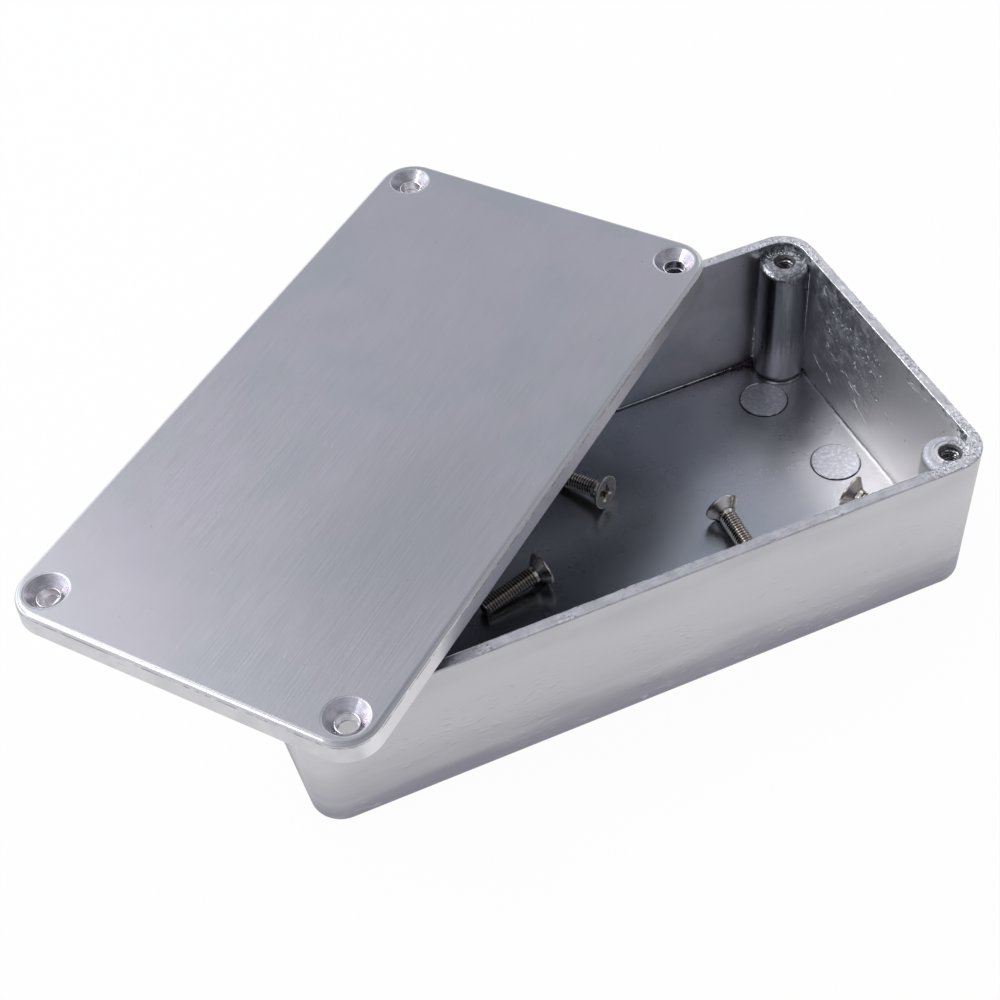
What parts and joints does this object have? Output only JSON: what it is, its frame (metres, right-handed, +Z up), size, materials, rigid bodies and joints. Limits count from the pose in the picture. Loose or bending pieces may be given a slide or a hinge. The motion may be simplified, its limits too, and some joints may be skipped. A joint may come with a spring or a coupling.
{
  "type": "die cast aluminium box",
  "caption": "Shallow cast metal enclosure with drafted walls and corner screw bosses, its countersunk lid lying askew on the open rim and the lid screws loose inside.",
  "frame": {"origin": "middle of the box's flat underside", "axes": "+Z up out of the open box, +X along the box's length, +Y across its width away from the side that the picture shows"},
  "size_m": [0.1412, 0.111, 0.0336],
  "materials": {
    "casting": "satin cast aluminium, linished lid, ground rim, dull inside",
    "screws": "bright nickel plate"
  },
  "bodies": {
    "root": {"box": "casting", "lid": "casting", "lid_screw_1": "screws", "lid_screw_2": "screws", "lid_screw_3": "screws", "lid_screw_4": "screws"}
  },
  "joints": []
}
